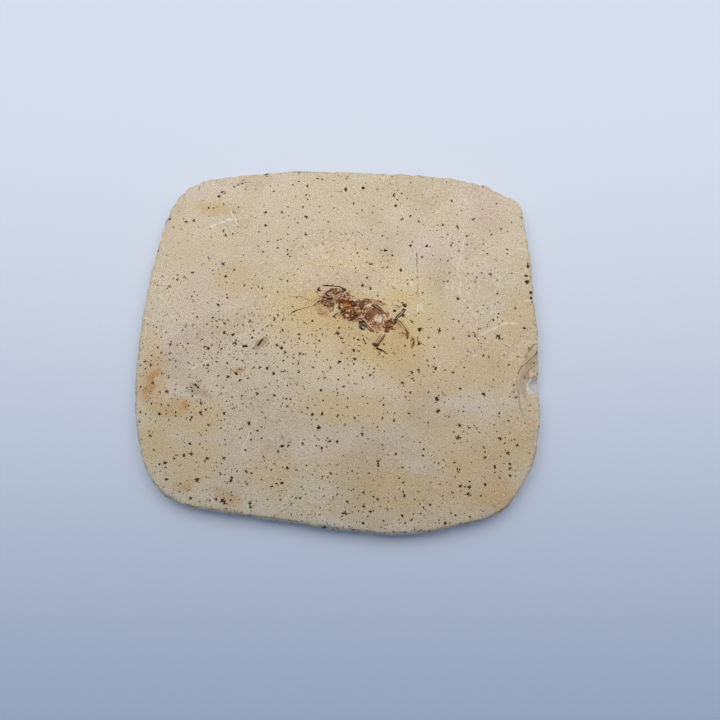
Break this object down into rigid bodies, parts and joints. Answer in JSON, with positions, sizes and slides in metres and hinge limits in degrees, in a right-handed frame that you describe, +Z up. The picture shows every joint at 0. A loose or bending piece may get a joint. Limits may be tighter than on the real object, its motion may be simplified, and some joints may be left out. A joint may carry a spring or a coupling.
{
  "type": "fossil insect",
  "caption": "Fossil cricket lying in shallow relief on a hand-sized slab of pale, laminated limestone with a trimmed, chipped edge.",
  "frame": {"origin": "middle of the slab's outline, on its flat underside", "axes": "+X along the slab's longer side, towards the side with the large flake scar and the insect's tail; +Y towards the slab's far edge; +Z up, out of the face that holds the insect"},
  "size_m": [0.0903, 0.082, 0.0079],
  "materials": {
    "limestone": "matte",
    "goethite": "satin",
    "pale_goethite": "matte"
  },
  "bodies": {
    "root": {"limestone_slab": "limestone", "insect": "goethite", "upper_antenna": "pale_goethite", "mouthpart": "goethite", "middle_shin": "goethite", "middle_foot": "goethite", "rear_foot": "goethite"}
  },
  "joints": []
}
